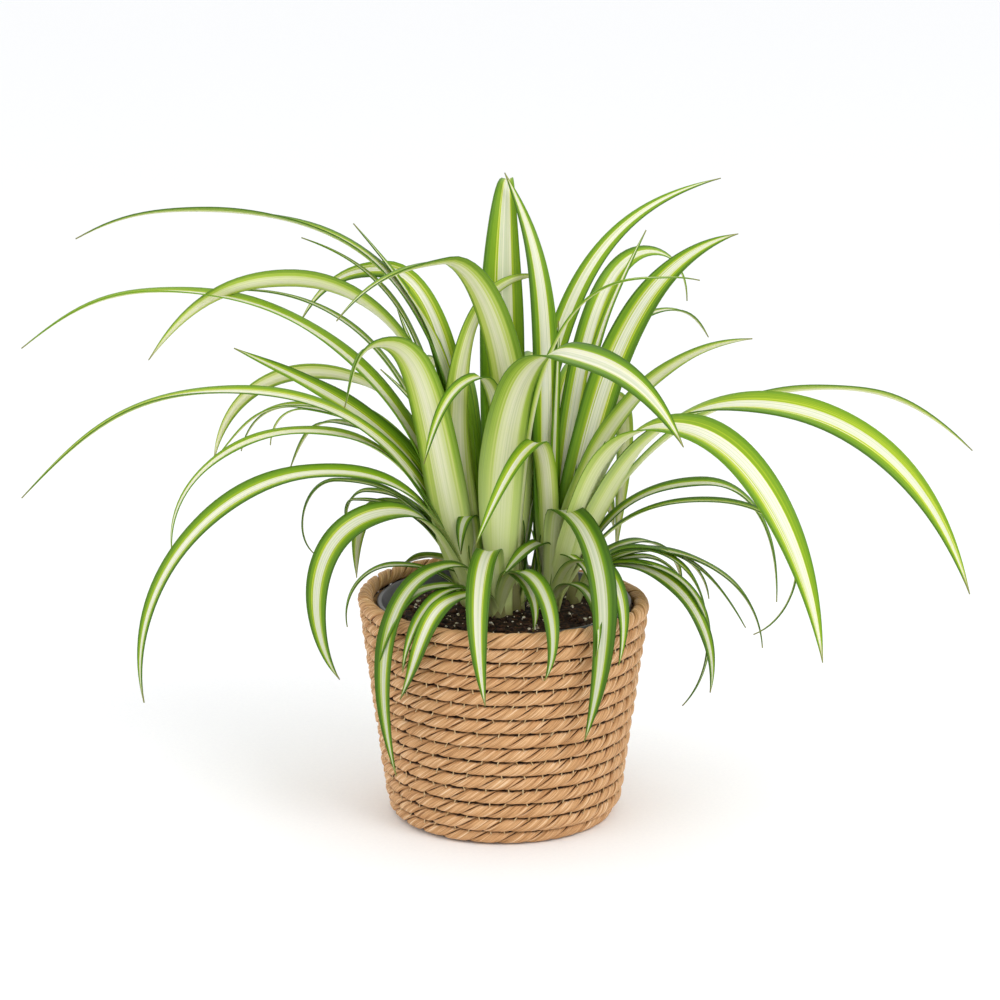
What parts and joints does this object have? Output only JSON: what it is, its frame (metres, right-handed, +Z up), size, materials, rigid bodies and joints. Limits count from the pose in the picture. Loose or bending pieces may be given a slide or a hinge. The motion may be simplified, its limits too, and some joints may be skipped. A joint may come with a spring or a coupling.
{
  "type": "potted spider plant",
  "caption": "Spider plant with long arching striped leaves in a plastic nursery pot, standing in a coiled rope basket.",
  "frame": {"origin": "centre of the basket's flat underside", "axes": "+Z up along the basket's axis, -Y towards the front, +X to the right seen from the front"},
  "size_m": [0.4931, 0.2573, 0.3284],
  "materials": {
    "rope": "twisted straw-coloured rope, matte",
    "pot_plastic": "dark grey, slightly satin",
    "soil": "crumbly dark potting soil with white perlite",
    "leaf": "satin green leaf with a cream stripe down the middle"
  },
  "bodies": {
    "root": {"basket": "rope", "nursery_pot": "pot_plastic", "potting_soil": "soil", "shoot_left": "leaf", "shoot_centre": "leaf", "shoot_right": "leaf", "shoot_side": "leaf"}
  },
  "joints": []
}
